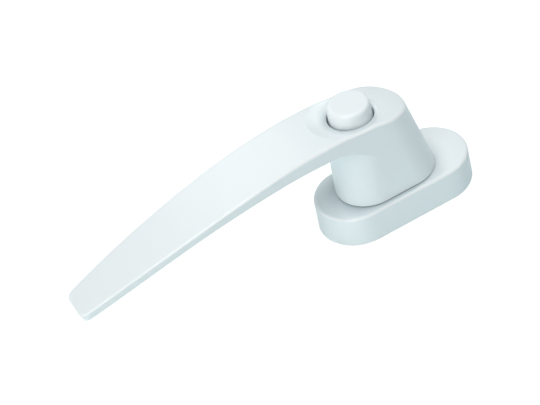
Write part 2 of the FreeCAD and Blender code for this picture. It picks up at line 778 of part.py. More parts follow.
def make_lever_blank():
    """The lever's plan outline, raised square to its tip, with the crowned belly cut below."""
    body = new_body("lever_blank")
    plan = new_sketch(body, lift="lever_tip_height")
    root = "0"
    start = "(-lever_taper_start)"
    tip = "(-lever_length)"
    half = "hub_half_width"
    tip_half = "lever_tip_half_width"
    run = "(lever_length - lever_taper_start)"
    drop = "(hub_half_width - lever_tip_half_width)"
    radius = "((%s^2 + %s^2) / (2 * %s))" % (run, drop, drop)
    corners = (
        (root, half), (start, half), (tip, tip_half),
        (tip, "-" + tip_half), (start, "-" + half), (root, "-" + half))
    add_outline(plan, corners, {1: (radius, 1), 3: (radius, 1)})
    block = body.newObject("PartDesign::Pad", "lever_raise")
    block.Profile = plan
    block.UseCustomVector = True
    angle = math.radians(value("lever_tip_angle"))
    block.Direction = FreeCAD.Vector(-math.sin(angle), 0, math.cos(angle))
    block.AlongSketchNormal = False
    block.Midplane = True
    bind(block, Length="(2 * blank_height)")
    tip_x = value(tip)

    def is_tip_corner(edge):
        ends = [vertex.Point for vertex in edge.Vertexes]
        upright = abs(ends[0].z - ends[-1].z) > value("blank_height")
        return upright and min(abs(end.x + end.z * math.tan(angle) - tip_x
                                   - value("lever_tip_height") * math.tan(angle)) for end in ends) < 0.01

    add_edge_feature(body, "Fillet", block, is_tip_corner, "lever_tip_corner")
    neck = value("hub_foot_left") + value("neck_radius")
    length = value("lever_length")
    beyond = value("hub_half_width")
    grip = tuple(-length * share for share in GRIP_STATIONS)
    stations = (-length - beyond,) + grip + (-neck - beyond / 2, -neck, 0.0, value("blank_height"))
    sections = [belly_section(body, x) for x in stations]
    belly = body.newObject("PartDesign::SubtractiveLoft", "lever_belly")
    belly.Profile = sections[0]
    belly.Sections = sections[1:]
    doc.recompute()
    return body


def belly_section(body, x):
    """What lies below the belly at x, bounded above by one arc across the lever."""
    half = lever_half_width(x)
    edge = edge_height(x)
    drop = belly_drop(x)
    radius = (half ** 2 + drop ** 2) / (2 * drop)
    wide = half + value("cut_margin")
    lowest = edge - drop
    side = lowest + radius - math.sqrt(radius ** 2 - wide ** 2)
    floor = -value("blank_height")
    sketch = new_sketch(body, "YZ_Plane", lift=str(x))
    left_top = FreeCAD.Vector(-wide, side, 0)
    right_top = FreeCAD.Vector(wide, side, 0)
    left_foot = FreeCAD.Vector(-wide, floor, 0)
    right_foot = FreeCAD.Vector(wide, floor, 0)
    arc = Part.Arc(left_top, FreeCAD.Vector(0, lowest, 0), right_top)
    sketch.addGeometry(arc)
    sketch.addGeometry(Part.LineSegment(right_top, right_foot))
    sketch.addGeometry(Part.LineSegment(right_foot, left_foot))
    sketch.addGeometry(Part.LineSegment(left_foot, left_top))
    return sketch


def make_hub_blank():
    """The hub as a leaning obround column, wider at its foot."""
    body = new_body("hub_blank")
    foot = new_sketch(body, lift=HUB_FOOT)
    add_obround(foot, "(-hub_foot_left)", "hub_foot_right", "hub_half_width")
    rise = "(blank_height - rosette_height - hub_gap)"
    left = "(-hub_foot_left + %s * tan(hub_left_draft))" % rise
    right = "(hub_foot_right - %s * tan(hub_right_draft))" % rise
    head = new_sketch(body, lift="blank_height")
    add_obround(head, left, right, "hub_half_width")
    column = body.newObject("PartDesign::AdditiveLoft", "hub_column")
    column.Profile = foot
    column.Sections = [head]
    column.Ruled = True
    doc.recompute()
    return body


def make_neck_blank():
    """The hollow fillet that runs from the column up into the lever's underside."""
    body = new_body("neck_round")
    centre = "(hub_half_width - %s)" % HUB_LEFT_AT_NECK
    sketch = new_sketch(body, "XZ_Plane", shift=centre)
    outer = "(hub_half_width + neck_radius)"
    above = "(neck_top + cut_margin)"
    corners = (
        ("0", NECK_FOOT), ("hub_half_width", NECK_FOOT), (outer, "neck_top"), (outer, above), ("0", above))
    add_outline(sketch, corners, {1: ("neck_radius", -1)})
    add_revolution(body, sketch)
    slab = box(
        "neck_slab", "(hub_foot_left + neck_radius)", "(2 * hub_half_width)", "(neck_radius + 2 * cut_margin)",
        x="(-hub_foot_left - 2 * neck_radius)", y="-hub_half_width", z="(%s - cut_margin)" % NECK_FOOT)
    neck = doc.addObject("Part::Common", "neck_blank")
    neck.Base = body
    neck.Tool = slab
    return neck


def crown_sketch(body):
    """All that lies above the back of the lever and hub, as four arcs without a corner."""
    sketch = new_sketch(body, "XZ_Plane")
    arcs = (
        ("hub_crown_radius", "(hub_foot_right + 2 * cut_margin)", "(-crest_along)"),
        ("neck_crown_radius", "(-crest_along)", "(-neck_crown_end)"),
        ("middle_crown_radius", "(-neck_crown_end)", "(-middle_crown_end)"),
        ("tip_crown_radius", "(-middle_crown_end)", "(-lever_length - blank_height)"),
    )
    edges = []
    for radius, right, left in arcs:
        start = FreeCAD.Vector(value(right), crown_height(value(right)), 0)
        end = FreeCAD.Vector(value(left), crown_height(value(left)), 0)
        edges.append(sketch.addGeometry(arc_between(start, end, value(radius), 1)))
    for edge, (radius, right, left) in zip(edges, arcs):
        hold(sketch, "Radius", (edge,), radius)
        hold(sketch, "DistanceX", (-1, 1, edge, 2), left)
    hold(sketch, "DistanceX", (-1, 1, edges[0], 1), arcs[0][1])
    hold(sketch, "DistanceY", (-1, 1, edges[0], 2), "crest_height")
    hold(sketch, "DistanceX", (-1, 1, edges[0], 3), "(-crest_along)")
    for first, second in zip(edges, edges[1:]):
        sketch.addConstraint(Sketcher.Constraint("Tangent", first, 2, second, 1))
    ceiling = "(2 * blank_height)"
    left = FreeCAD.Vector(value(arcs[-1][2]), crown_height(value(arcs[-1][2])), 0)
    right = FreeCAD.Vector(value(arcs[0][1]), crown_height(value(arcs[0][1])), 0)
    left_top = FreeCAD.Vector(left.x, value(ceiling), 0)
    right_top = FreeCAD.Vector(right.x, value(ceiling), 0)
    rise = sketch.addGeometry(Part.LineSegment(left, left_top))
    across = sketch.addGeometry(Part.LineSegment(left_top, right_top))
    fall = sketch.addGeometry(Part.LineSegment(right_top, right))
    sketch.addConstraint(Sketcher.Constraint("Coincident", edges[-1], 2, rise, 1))
    sketch.addConstraint(Sketcher.Constraint("Coincident", rise, 2, across, 1))
    sketch.addConstraint(Sketcher.Constraint("Coincident", across, 2, fall, 1))
    sketch.addConstraint(Sketcher.Constraint("Coincident", fall, 2, edges[0], 1))
    sketch.addConstraint(Sketcher.Constraint("Vertical", rise))
    sketch.addConstraint(Sketcher.Constraint("Vertical", fall))
    sketch.addConstraint(Sketcher.Constraint("Horizontal", across))
    hold(sketch, "DistanceY", (-1, 1, across, 1), ceiling)
    return sketch


def is_rim(edge):
    """True on the edges round the crowned back, not on the joints between its arcs."""
    points = samples(edge)
    if any(abs(point.z - crown_height(point.x)) > 0.01 for point in points):
        return False
    joints = (-value("crest_along"), -value("neck_crown_end"), -value("middle_crown_end"))
    for joint in joints:
        if all(abs(point.x - joint) < 0.01 for point in points):
            return False
    return True


def rim_radius(x):
    """Radius of the rounded rim at x: even round the hub, then smaller towards the tip."""
    start = -value("lever_taper_start")
    share = min(max((start - x) / (value("lever_length") + start), 0.0), 1.0)
    return value("hub_rim_radius") + (value("tip_rim_radius") - value("hub_rim_radius")) * share


def samples(edge, count=7):
    span = edge.LastParameter - edge.FirstParameter
    return [edge.valueAt(edge.FirstParameter + span * (step + 0.5) / count) for step in range(count)]


def on_scoop(point):
    """True on the barrel-shaped surface that hollows the thumb scoop."""
    along = value("scoop_radius_along")
    across = value("scoop_radius_across")
    run = point.x + value("scoop_along")
    if abs(run) > along:
        return False
    reach = math.sqrt(along ** 2 - run ** 2) - (along - across)
    return abs(math.hypot(point.y, point.z - value("scoop_bottom") - across) - reach) < 0.02


def is_scoop_rim(edge):
    """True on the scoop's outer edge, not on the seams inside it."""
    points = samples(edge)
    if not all(on_scoop(point) for point in points):
        return False
    along_middle = all(abs(point.y) < 0.001 for point in points)
    across_middle = all(abs(point.x + value("scoop_along")) < 0.001 for point in points)
    return not along_middle and not across_middle


def is_button_hole_edge(edge):
    """True on the upper edge of the button's hole, where it breaks through the scoop."""
    offset = value("lock_offset")
    radius = value("button_hole_radius")
    return all(on_scoop(point) and abs(math.hypot(point.x + offset, point.y) - radius) < 0.01
               for point in samples(edge))


def make_handle_casting():
    """One casting: the lever grows out of the hub over a hollow neck fillet."""
    rough = doc.addObject("Part::MultiFuse", "casting_rough")
    rough.Shapes = [make_hub_blank(), make_lever_blank(), make_neck_blank()]
    rough.Refine = True
    doc.recompute()
    shaped = new_body("casting_shaped")
    shaped.BaseFeature = rough
    doc.recompute()
    crown = shaped.newObject("PartDesign::Pocket", "casting_crown")
    crown.Profile = crown_sketch(shaped)
    crown.Type = "ThroughAll"
    crown.Midplane = True
    doc.recompute()
    rim = doc.addObject("Part::Fillet", "casting_rim")
    rim.Base = shaped
    rim.Edges = [
        (number, rim_radius(edge.Vertexes[0].X), rim_radius(edge.Vertexes[-1].X))
        for number, edge in enumerate(shaped.Shape.Edges, start=1) if is_rim(edge)]
    doc.recompute()
    body = new_body("handle_casting")
    body.BaseFeature = rim
    doc.recompute()
    scoop_axis = "(scoop_bottom + scoop_radius_across)"
    scoop = new_sketch(body, "XZ_Plane", shift="-scoop_along", rise=scoop_axis)
    reach = "(sqrt(scoop_radius_along^2 - (scoop_radius_along - scoop_radius_across)^2))"
    add_outline(
        scoop, (("-" + reach, "0"), ("0", "-scoop_radius_across"), (reach, "0")),
        {0: ("scoop_radius_along", 1), 1: ("scoop_radius_along", 1)})
    groove = body.newObject("PartDesign::Groove", "casting_scoop")
    groove.Profile = scoop
    groove.ReferenceAxis = (scoop, ["H_Axis"])
    groove.Angle = 360
    add_edge_feature(body, "Fillet", groove, is_scoop_rim, "scoop_rim_radius")
    bore_casting(body)
    return body


def bore_casting(body):
    """The button hole, the stepped bore for the guide barrel and the carrier's seat."""
    wells = (
        ("blank_height", "button_hole_radius", "(blank_height - %s)" % BARREL_SEAT),
        ("blank_height", "(barrel_radius + fit_gap)", "(blank_height - barrel_step)"),
        ("blank_height", "(barrel_sleeve_radius + fit_gap)", None),
    )
    for lift, radius, depth in wells:
        well = new_sketch(body, lift=lift)
        add_circle(well, "-lock_offset", "0", radius)
        bore = add_pocket(body, well, depth)
        if radius == "button_hole_radius":
            add_edge_feature(body, "Fillet", bore, is_button_hole_edge, "button_hole_rim")
    seat = new_sketch(body, lift=HUB_FOOT)
    left = "(-carrier_flange_left - fit_gap)"
    right = "(carrier_flange_right + fit_gap)"
    add_rounded_rectangle(seat, left, right, "(carrier_flange_half + fit_gap)", "carrier_flange_corner")
    add_pocket(body, seat, "carrier_flange_thickness", upward=True)
    shank = new_sketch(body, lift=HUB_FOOT)
    add_circle(shank, "0", "0", "(shank_radius + fit_gap)")
    add_pocket(body, shank, "(carrier_flange_thickness + shank_length + shank_room)", upward=True)
    threads = new_sketch(body, lift=HUB_FOOT)
    for across in ("carrier_screw_across", "-carrier_screw_across"):
        add_circle(threads, "carrier_screw_along", across, "(carrier_screw_radius + screw_clearance)")
    add_pocket(body, threads, "(carrier_screw_length + thread_runout)", upward=True)


# Lock: button, pin, guide barrel and springs, all on one axis

def on_lock_axis(body):
    return bind(body, x="-lock_offset")


def make_lock_barrel():
    """Guide for button and pin, pressed into the hub; the spring stands in its chamber."""
    bore = "(pin_radius + running_gap)"
    body = turned_body("lock_barrel", (
        (bore, "barrel_foot"), ("barrel_sleeve_radius", "barrel_foot"), ("barrel_sleeve_radius", "barrel_step"),
        ("barrel_radius", "barrel_step"), ("barrel_radius", BARREL_SEAT), ("barrel_flange_radius", BARREL_SEAT),
        ("barrel_flange_radius", BARREL_FLANGE_TOP), ("barrel_guide_radius", BARREL_FLANGE_TOP),
        ("barrel_guide_radius", GUIDE_TOP), ("chamber_radius", GUIDE_TOP), ("chamber_radius", "chamber_floor"),
        (bore, "chamber_floor")))
    anchor = new_sketch(body, lift="chamber_floor")
    add_circle(anchor, "latch_offset", "0", "(latch_wire_radius + fit_gap)")
    add_pocket(body, anchor, "(latch_anchor_depth + fit_gap)")
    return on_lock_axis(body)


def make_pin_guide_bush():
    top = "(%s + guide_bush_height)" % HUB_FOOT
    bore = "(pin_radius + running_gap)"
    body = turned_body("pin_guide_bush", (
        (bore, HUB_FOOT), ("barrel_sleeve_radius", HUB_FOOT), ("barrel_sleeve_radius", top), (bore, top)))
    return on_lock_axis(body)


def make_button_cap():
    """Hollow cap with a rounded upper edge and a boss that grips the pin."""
    corner = "(button_radius - button_height * tan(button_draft))"
    tangent = "(button_edge_radius / tan(45 + button_draft / 2))"
    edge_start = "(button_top - %s * cos(button_draft))" % tangent
    edge_radius = "(%s + %s * sin(button_draft))" % (corner, tangent)
    flat_end = "(%s - %s)" % (corner, tangent)
    boss_foot = "(%s - cap_boss_length)" % CAP_CEILING
    bore = "(pin_radius + fit_gap)"
    bore_top = "(%s + pin_grip + fit_gap)" % CAP_CEILING
    body = turned_body("button_cap", (
        ("cap_bore_radius", CAP_FOOT), ("button_radius", CAP_FOOT), (edge_radius, edge_start),
        (flat_end, "button_top"), ("0", "button_top"), ("0", bore_top), (bore, bore_top), (bore, boss_foot),
        ("cap_boss_radius", boss_foot), ("cap_boss_radius", CAP_CEILING), ("cap_bore_radius", CAP_CEILING)),
        {2: ("button_edge_radius", 1)})
    return on_lock_axis(body)


def make_locking_pin():
    """Hardened pin with a chamfered tip, a clip groove and a heart-shaped latch track."""
    groove_top = "(%s + fit_gap)" % CLIP_TOP
    groove_foot = "(%s - pin_clip_thickness - fit_gap)" % CLIP_TOP
    groove = "(pin_radius - pin_clip_groove)"
    tip = "(pin_radius - pin_tip_chamfer)"
    top = "(%s + pin_grip)" % CAP_CEILING
    body = turned_body("locking_pin", (
        ("0", PIN_TIP), (tip, PIN_TIP), ("pin_radius", "(%s + pin_tip_chamfer)" % PIN_TIP),
        ("pin_radius", groove_foot), (groove, groove_foot), (groove, groove_top), ("pin_radius", groove_top),
        ("pin_radius", top), ("0", top)))
    track = new_sketch(body, "YZ_Plane", lift="pin_radius", rise="latch_hook_height")
    half = "track_half_width"
    low = "(latch_wire_radius)"
    high = "(button_travel)"
    add_outline(track, (
        ("-" + half, low), (half, low), (half, high), ("-" + half, high)), {0: ("(1.1 * track_half_width)", 1)})
    add_outline(track, (
        ("0", "heart_tip"), ("heart_half_width", "heart_shoulder"), ("heart_half_width", "heart_lobe"),
        ("0", "heart_notch"), ("-heart_half_width", "heart_lobe"), ("-heart_half_width", "heart_shoulder")))
    add_pocket(body, track, "track_depth")
    return on_lock_axis(body)


def make_pin_clip():
    """Open clip in the pin's groove; it stops the spring from pushing the button out."""
    body = new_body("pin_clip")
    foot = "(%s - pin_clip_thickness)" % CLIP_TOP
    ring = new_sketch(body, lift=foot)
    add_circle(ring, "0", "0", "pin_clip_radius")
    add_circle(ring, "0", "0", "(pin_radius - pin_clip_groove + fit_gap)")
    add_pad(body, ring, "pin_clip_thickness")
    mouth = new_sketch(body, lift=foot)
    add_rectangle(mouth, "0", "(pin_clip_radius + cut_margin)", "-pin_clip_mouth_half", "pin_clip_mouth_half")
    add_pocket(body, mouth, upward=True)
    return on_lock_axis(body)


def biarc(start, start_way, end, end_way):
    """Two tangent arcs from start to end with the given directions."""
    gap = end - start
    ways = start_way + end_way
    a = ways.dot(ways) - 4
    b = -2 * gap.dot(ways)
    c = gap.dot(gap)
    reach = (-b - math.sqrt(b * b - 4 * a * c)) / (2 * a)
    first_corner = start + start_way * reach
    second_corner = end - end_way * reach
    joint = (first_corner + second_corner) * 0.5
    return [arc_round(start, first_corner, joint), arc_round(joint, second_corner, end)]


def arc_round(start, corner, end):
    """The arc that touches both legs of a corner with equal legs."""
    middle = (start + end) * 0.5
    half_chord = (end - start).Length / 2
    turn = 2 * math.atan2((corner - middle).Length, half_chord)
    rise = half_chord * math.tan(turn / 4)
    top = middle + (corner - middle).normalize() * rise
    return Part.Arc(start, top, end).toShape()


def make_button_spring():
    """Open coil spring between the barrel's floor and the cap, in quarter turns."""
    radius = value("spring_mean_radius")
    wire = value("spring_wire_radius")
    foot = value("chamber_floor + spring_wire_radius + running_gap")
    head = value(CAP_CEILING + " - spring_wire_radius - running_gap")
    quarters = int(value("spring_quarters"))
    climb = (head - foot) / quarters
    slope = climb / (radius * math.pi / 2)

    def point(quarter):
        angle = quarter * math.pi / 2
        return FreeCAD.Vector(radius * math.cos(angle), radius * math.sin(angle), foot + climb * quarter)

    def way(quarter):
        angle = quarter * math.pi / 2
        return FreeCAD.Vector(-math.sin(angle), math.cos(angle), slope).normalize()

    arcs = []
    for quarter in range(quarters):
        arcs += biarc(point(quarter), way(quarter), point(quarter + 1), way(quarter + 1))
    section = Part.Wire([Part.Circle(point(0), way(0), wire).toShape()])
    spring = doc.addObject("Part::Feature", "button_spring")
    spring.Shape = Part.Wire(arcs).makePipeShell([section], True, False)
    spring.Label = "button_spring"
    return on_lock_axis(spring)


def make_latch_wire():
    """Bent wire that stands in the barrel and follows the pin's heart-shaped track."""
    offset = value("latch_offset")
    foot = value("chamber_floor - latch_anchor_depth")
    hook = value("latch_hook_height")
    end = value("pin_radius - track_depth + fit_gap")
    radius = value("latch_wire_radius")
    bend = 2.2 * radius
    corner = FreeCAD.Vector(offset, 0, hook)
    before = corner - FreeCAD.Vector(0, 0, bend)
    after = corner - FreeCAD.Vector(bend, 0, 0)
    middle = FreeCAD.Vector(offset - bend * (1 - math.sqrt(0.5)), 0, hook - bend * (1 - math.sqrt(0.5)))
    start = FreeCAD.Vector(offset, 0, foot)
    path = Part.Wire([
        Part.LineSegment(start, before).toShape(),
        Part.Arc(before, middle, after).toShape(),
        Part.LineSegment(after, FreeCAD.Vector(end, 0, hook)).toShape(),
    ])
    section = Part.Wire([Part.Circle(start, FreeCAD.Vector(0, 0, 1), radius).toShape()])
    wire = doc.addObject("Part::Feature", "latch_wire")
    wire.Shape = path.makePipeShell([section], True, False)
    wire.Label = "latch_wire"
    return on_lock_axis(wire)


pieces = [
    make_rosette_cover(),
    make_base_plate(),
    make_strike_plate(),
    make_strike_plate_screws(),
    make_slide_ring(),
    make_bearing_bush(),
    make_detent_springs(),
    make_spindle_carrier(),
    make_carrier_screws(),
    make_detent_cam(),
    make_thrust_washer(),
    make_circlip(),
    make_handle_casting(),
    make_lock_barrel(),
    make_pin_guide_bush(),
    make_button_cap(),
    make_locking_pin(),
    make_pin_clip(),
    make_button_spring(),
    make_latch_wire(),
]
doc.recompute()

# Identical fasteners and springs share one node; every other node is a single solid.
solids_in_node = {"strike_plate_screws": 4, "carrier_screws": 2, "detent_springs": 2}
failed = [item.Label for item in doc.Objects if "Invalid" in item.State or "Error" in item.State]
if failed:
    raise ValueError("could not be built: " + ", ".join(failed))
for piece in pieces:
    shape = piece.Shape
    if shape.isNull() or not shape.isValid() or not shape.Solids:
        raise ValueError("%s has no valid solid" % piece.Label)
    if len(shape.Solids) != solids_in_node.get(piece.Label, 1):
        raise ValueError("%s falls into %d solids" % (piece.Label, len(shape.Solids)))
    shape.exportStep("parts/%s.step" % piece.Label)
    print("%-22s %d solid(s), %9.1f mm3" % (piece.Label, len(shape.Solids), shape.Volume))
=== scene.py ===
import math

import bmesh
import bpy
from mathutils import Matrix, Vector


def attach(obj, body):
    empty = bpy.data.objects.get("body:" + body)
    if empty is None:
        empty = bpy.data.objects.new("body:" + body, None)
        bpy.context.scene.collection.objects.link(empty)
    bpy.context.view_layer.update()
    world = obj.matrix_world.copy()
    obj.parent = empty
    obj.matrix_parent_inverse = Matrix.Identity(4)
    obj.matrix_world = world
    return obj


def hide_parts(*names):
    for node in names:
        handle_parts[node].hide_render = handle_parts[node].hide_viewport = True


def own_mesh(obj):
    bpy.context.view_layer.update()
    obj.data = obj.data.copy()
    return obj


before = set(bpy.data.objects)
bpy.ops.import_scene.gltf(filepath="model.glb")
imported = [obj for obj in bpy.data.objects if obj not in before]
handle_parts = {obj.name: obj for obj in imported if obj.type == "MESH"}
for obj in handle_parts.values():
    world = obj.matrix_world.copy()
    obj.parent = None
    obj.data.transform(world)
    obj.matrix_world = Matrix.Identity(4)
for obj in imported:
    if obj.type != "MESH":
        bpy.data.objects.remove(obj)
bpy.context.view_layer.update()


# Studio: the handle stands on white paper, seen from the front left and from above. Softboxes hang
# overhead, high at the front and right, behind, and low at the front and left. The room adds little.

def aim(item, place, right, up):
    """Puts an object at a place with its own x along right and its own y along up."""
    turn = Matrix((right, up, right.cross(up))).transposed()
    item.matrix_world = Matrix.Translation(Vector(place)) @ turn.to_4x4()


photo_width = 540
focal_length = 1600
sensor_width = 36
camera_place = (-0.1912, -0.4288, 0.4335)
view_azimuth = math.radians(-18.06)
view_elevation = math.radians(41.87)
view_roll = math.radians(-15.5)
level_right = Vector((math.cos(view_azimuth), math.sin(view_azimuth), 0))
view_back = Vector((
    math.sin(view_azimuth) * math.cos(view_elevation),
    -math.cos(view_azimuth) * math.cos(view_elevation),
    math.sin(view_elevation),
))
level_up = view_back.cross(level_right)
camera_right = level_right * math.cos(view_roll) + level_up * math.sin(view_roll)
camera_up = level_up * math.cos(view_roll) - level_right * math.sin(view_roll)

camera_data = bpy.data.cameras.new("photo_camera")
camera_data.sensor_width = sensor_width
camera_data.lens = focal_length / photo_width * sensor_width
camera_data.clip_start = 0.01
camera = bpy.data.objects.new("photo_camera", camera_data)
aim(camera, camera_place, camera_right, camera_up)
bpy.context.scene.collection.objects.link(camera)
bpy.context.scene.camera = camera
bpy.context.scene.view_settings.view_transform = "Standard"

lit_middle = Vector((-0.03, 0, 0.03))


def add_softbox(name, place, size, power, tint=(1.0, 1.0, 1.0)):
    """A square lamp that faces the middle of the handle."""
    lamp = bpy.data.lights.new(name, "AREA")
    lamp.shape = "SQUARE"
    lamp.size = size
    lamp.energy = power
    lamp.color = tint
    box = bpy.data.objects.new(name, lamp)
    back = (Vector(place) - lit_middle).normalized()
    side = Vector((0, 1, 0)).cross(back).normalized()
    aim(box, place, side, back.cross(side))
    bpy.context.scene.collection.objects.link(box)


add_softbox("overhead_softbox", (-0.06, -0.01, 0.93), 0.50, 2.50)
add_softbox("front_softbox", (-0.254, -0.390, 0.809), 0.35, 1.77)
add_softbox("right_softbox", (0.420, 0.0, 0.809), 0.35, 1.83)
add_softbox("back_softbox", (-0.030, 0.737, 0.546), 0.35, 1.24)
add_softbox("back_right_softbox", (0.608, 0.370, 0.546), 0.25, 0.65)
add_softbox("low_front_softbox", (-0.653, -0.623, 0.217), 0.35, 2.50, (1.05, 1.0, 0.97))
add_softbox("low_left_softbox", (-0.910, 0.0, 0.217), 0.35, 0.94, (1.04, 1.0, 0.98))


def feed(tree, socket, value):
    """Links a socket to another one, or sets it to a plain value."""
    if isinstance(value, bpy.types.NodeSocket):
        tree.links.new(value, socket)
    else:
        socket.default_value = value


def add_node(tree, kind, **inputs):
    """A new node with its named inputs fed."""
    node = tree.nodes.new(kind)
    for label, value in inputs.items():
        feed(tree, node.inputs[label.replace("_", " ")], value)
    return node


def add_math(tree, operation, *values):
    """The result of a math node whose inputs are fed in order."""
    node = tree.nodes.new("ShaderNodeMath")
    node.operation = operation
    for socket, value in zip(node.inputs, values):
        feed(tree, socket, value)
    return node.outputs[0]


def smooth_step(tree, value, start, end):
    """A mask that rises softly from 0 to 1 as the value goes from start to end."""
    step = add_node(tree, "ShaderNodeMapRange", Value=value, From_Min=start, From_Max=end)
    step.interpolation_type = "SMOOTHSTEP"
    return step.outputs["Result"]


def mix_colours(tree, factor, first, second):
    """Goes from the first colour to the second as the factor goes from 0 to 1."""
    mix = tree.nodes.new("ShaderNodeMix")
    mix.data_type = "RGBA"
    for label, value in (("Factor", factor), ("A", first), ("B", second)):
        feed(tree, mix.inputs[label], value)
    return mix.outputs["Result"]


room = bpy.data.worlds.new("white_room")
room.use_nodes = True
room_tree = room.node_tree
room_tree.nodes.clear()
room_rays = room_tree.nodes.new("ShaderNodeLightPath").outputs
reflected_wall = 0.25
wall_strength = add_math(
    room_tree, "MULTIPLY_ADD", room_rays["Is Camera Ray"], 1 - reflected_wall, reflected_wall)
wall_is_seen = add_math(
    room_tree, "MAXIMUM",
    add_math(room_tree, "MAXIMUM", room_rays["Is Camera Ray"], room_rays["Is Glossy Ray"]),
    room_rays["Is Transmission Ray"])
ambient = add_node(room_tree, "ShaderNodeBackground", Color=(0.60, 1.0, 1.1, 1), Strength=0.06)
white_wall = add_node(room_tree, "ShaderNodeBackground", Color=(1, 1, 1, 1), Strength=wall_strength)
room_mix = add_node(room_tree, "ShaderNodeMixShader", Fac=wall_is_seen)
room_tree.links.new(ambient.outputs[0], room_mix.inputs[1])
room_tree.links.new(white_wall.outputs[0], room_mix.inputs[2])
add_node(room_tree, "ShaderNodeOutputWorld", Surface=room_mix.outputs[0])
bpy.context.scene.world = room

floor_half_width = 3.0
gap_under_handle = 0.0003
floor_mesh = bpy.data.meshes.new("studio_floor")
floor_shape = bmesh.new()
bmesh.ops.create_grid(floor_shape, x_segments=1, y_segments=1, size=floor_half_width)
bmesh.ops.translate(floor_shape, verts=floor_shape.verts, vec=(0, 0, -gap_under_handle))
floor_shape.to_mesh(floor_mesh)
floor_shape.free()
floor = bpy.data.objects.new("studio_floor", floor_mesh)
bpy.context.scene.collection.objects.link(floor)
floor_paint = bpy.data.materials.new("studio_floor_paint")
floor_paint.use_nodes = True
paint_tree = floor_paint.node_tree
paint_tree.nodes.clear()
near_glow = (1.0, 0.86, 0.84, 1)
far_glow = (1.5, 1.5, 1.5, 1)
seen_glow = 0.68
reflected_glow = 0.30
floor_rays = paint_tree.nodes.new("ShaderNodeLightPath").outputs
floor_place = paint_tree.nodes.new("ShaderNodeTexCoord").outputs["Object"]
floor_distance = add_node(paint_tree, "ShaderNodeVectorMath", Vector=floor_place)
floor_distance.operation = "LENGTH"
far_floor = smooth_step(paint_tree, floor_distance.outputs["Value"], start=0.30, end=1.20)
glow_colour = mix_colours(paint_tree, far_floor, near_glow, far_glow)
glow_in_gloss = add_math(paint_tree, "MULTIPLY", floor_rays["Is Glossy Ray"], reflected_glow)
glow_strength = add_math(
    paint_tree, "MULTIPLY_ADD", floor_rays["Is Camera Ray"], seen_glow, glow_in_gloss)
paper = add_node(paint_tree, "ShaderNodeBsdfDiffuse", Color=(0.72, 0.85, 0.87, 1))
glow = add_node(paint_tree, "ShaderNodeEmission", Color=glow_colour, Strength=glow_strength)
floor_sum = paint_tree.nodes.new("ShaderNodeAddShader")
paint_tree.links.new(paper.outputs[0], floor_sum.inputs[0])
paint_tree.links.new(glow.outputs[0], floor_sum.inputs[1])
add_node(paint_tree, "ShaderNodeOutputMaterial", Surface=floor_sum.outputs[0])
floor_mesh.materials.append(floor_paint)


# Rosette cover: a thin formed aluminium shell with a drafted wall and a rounded upper edge.
# It is degreased, chromated and powder coated in satin white, baked to a faint orange peel.
# Its rims between wall and top get a painted highlight and less roughness; painted shade darkens its tops
# near other pieces.

def start_skin(name, **inputs):
    """An empty node group for a surface, with the given numbers and colours as its inputs."""
    tree = bpy.data.node_groups.new(name, "ShaderNodeTree")
    for label, value in inputs.items():
        kind = "NodeSocketFloat" if isinstance(value, float) else "NodeSocketColor"
        socket = tree.interface.new_socket(name=label.replace("_", " "), in_out="INPUT", socket_type=kind)
        socket.default_value = value
    return tree, tree.nodes.new("NodeGroupInput").outputs


def end_skin(tree, colour, roughness, normal):
    """Puts a surface's colour, roughness and normal out of its group."""
    for label, kind in (("Colour", "Color"), ("Roughness", "Float"), ("Normal", "Vector")):
        tree.interface.new_socket(name=label, in_out="OUTPUT", socket_type="NodeSocket" + kind)
    add_node(tree, "NodeGroupOutput", Colour=colour, Roughness=roughness, Normal=normal)


def add_noise(tree, place, scale, detail, **inputs):
    """Soft random marks, about 0.5 on average."""
    noise = add_node(tree, "ShaderNodeTexNoise", Vector=place, Scale=scale, Detail=detail, **inputs)
    return noise.outputs["Fac"]


def add_bump(tree, height, depth):
    """A normal that makes marks look as deep as the given depth."""
    return add_node(tree, "ShaderNodeBump", Height=height, Distance=depth).outputs["Normal"]


def spread_gloss(tree, noise, low, high):
    """Spreads noise, which seldom leaves 0.3 to 0.7, over a range of roughness."""
    spread = add_node(
        tree, "ShaderNodeMapRange", Value=noise, From_Min=0.3, From_Max=0.7, To_Min=low, To_Max=high)
    return spread.outputs["Result"]


def make_finish(name, skin, metallic=0.0, **settings):
    """A material with one Principled shader, fed by a skin group with its own settings."""
    material = bpy.data.materials.new(name)
    material.use_nodes = True
    tree = material.node_tree
    shader = tree.nodes["Principled BSDF"]
    shader.inputs["Metallic"].default_value = metallic
    group = tree.nodes.new("ShaderNodeGroup")
    group.node_tree = skin
    for label, value in settings.items():
        group.inputs[label.replace("_", " ")].default_value = value
    for output, target in (("Colour", "Base Color"), ("Roughness", "Roughness"), ("Normal", "Normal")):
        tree.links.new(group.outputs[output], shader.inputs[target])
    return material


def dress(node, material):
    """Gives a CAD node its finish."""
    handle_parts[node].material_slots[0].material = material


# The skin takes a painted highlight colour, and a painted shade colour with its reach, among its inputs.
powder_skin, powder = start_skin(
    "powder_coat_skin",
    Clean_Colour=(0.86, 0.92, 0.94, 1), Shade_Colour=(0.83, 0.90, 0.92, 1),
    Rubbed_Colour=(0.97, 0.99, 0.995, 1), Dust_Colour=(0.34, 0.43, 0.47, 1), Dust_Reach=0.007,
    Peel_Scale=700.0, Peel_Depth=0.00001, Gloss_Low=0.30, Gloss_High=0.40, Rubbed_Gloss=0.20)
powder_coordinates = powder_skin.nodes.new("ShaderNodeTexCoord").outputs
powder_place = powder_coordinates["Object"]
upward = add_node(powder_skin, "ShaderNodeSeparateXYZ", Vector=powder_coordinates["Normal"]).outputs["Z"]

